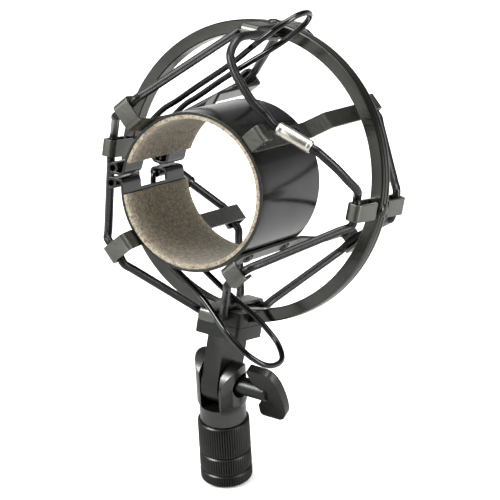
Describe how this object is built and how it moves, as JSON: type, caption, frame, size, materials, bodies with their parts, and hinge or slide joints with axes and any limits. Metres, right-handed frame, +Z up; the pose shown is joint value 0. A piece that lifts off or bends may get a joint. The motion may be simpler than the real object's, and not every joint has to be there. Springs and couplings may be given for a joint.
{
  "type": "microphone shock mount",
  "caption": "Metal suspension shock mount: felt-lined spring sleeve with wire levers, hung by elastic cords in a round hoop on a tilting, swivelling stand stem.",
  "frame": {"origin": "on the stand axis, on the floor of the small recess at the top of the thread socket, where the end of a stand's stud stops", "axes": "+Z up the stand axis, -Y the front (address side), +X the wing-screw side"},
  "size_m": [0.1175, 0.1126, 0.193],
  "materials": {
    "black_plate": "gloss black plating",
    "grey_plate": "gloss dark grey plating",
    "brass": "turned",
    "felt": "pressed felt",
    "elastic": "braided elastic",
    "ferrule_metal": "polished crimp tube",
    "rivet_metal": "gloss dark plating"
  },
  "bodies": {
    "base": {"thread_adapter": "black_plate", "thread_insert": "brass"},
    "collar": {"swivel_collar": "black_plate"},
    "stem": {"stem_clevis": "black_plate"},
    "wing": {"wing_screw": "black_plate"},
    "ring": {"ring_hoop": "grey_plate", "outer_bracket_top": "grey_plate", "outer_bracket_right": "grey_plate", "outer_bracket_bottom": "grey_plate", "outer_bracket_left": "grey_plate", "ring_rivet_top": "rivet_metal", "ring_rivet_right": "rivet_metal", "ring_rivet_left": "rivet_metal", "saddle_lug": "black_plate", "saddle_screw": "rivet_metal", "front_cord": "elastic", "rear_cord": "elastic", "front_ferrule": "ferrule_metal", "rear_ferrule": "ferrule_metal"},
    "cradle": {"sleeve_spring": "grey_plate", "felt_liner": "felt", "inner_bracket_upper_left": "grey_plate", "inner_bracket_lower_left": "grey_plate", "inner_bracket_lower_right": "grey_plate", "inner_bracket_upper_right": "grey_plate", "bracket_rivet_upper_left_front": "rivet_metal", "bracket_rivet_upper_left_rear": "rivet_metal", "bracket_rivet_lower_left_front": "rivet_metal", "bracket_rivet_lower_left_rear": "rivet_metal", "bracket_rivet_lower_right_front": "rivet_metal", "bracket_rivet_lower_right_rear": "rivet_metal", "bracket_rivet_upper_right_front": "rivet_metal", "bracket_rivet_upper_right_rear": "rivet_metal"},
    "upper_handle": {"handle_upper": "black_plate"},
    "lower_handle": {"handle_lower": "black_plate"}
  },
  "joints": [
    {"name": "collar_spin", "type": "hinge", "parent": "base", "child": "collar", "pos_m": [0, 0, 0.011], "axis": [0, 0, 1], "continuous": true},
    {"name": "stem_swivel", "type": "hinge", "parent": "base", "child": "stem", "pos_m": [0, 0, 0.011], "axis": [0, 0, 1], "continuous": true},
    {"name": "wing_turn", "type": "hinge", "parent": "stem", "child": "wing", "pos_m": [0, 0, 0.03475], "axis": [1, 0, 0], "continuous": true},
    {"name": "ring_tilt", "type": "hinge", "parent": "stem", "child": "ring", "pos_m": [0, 0, 0.03475], "axis": [1, 0, 0], "range_deg": [-69, 110]},
    {"name": "cradle_float", "type": "slide", "parent": "ring", "child": "cradle", "axis": [0, 0.3566, 0.9343], "range_m": [-0.002, 0.002], "stiffness_N_per_m": 1500, "deforming": ["front_cord", "rear_cord"]},
    {"name": "upper_handle_swing", "type": "hinge", "parent": "cradle", "child": "upper_handle", "pos_m": [-0.03319, 0.00578, 0.11931], "axis": [0.0511, -0.9461, 0.3197], "range_deg": [-3, 1.5]},
    {"name": "lower_handle_swing", "type": "hinge", "parent": "cradle", "child": "lower_handle", "pos_m": [-0.03304, 0.00397, 0.11391], "axis": [-0.0511, 0.9461, -0.3197], "range_deg": [-3, 1.5]}
  ]
}
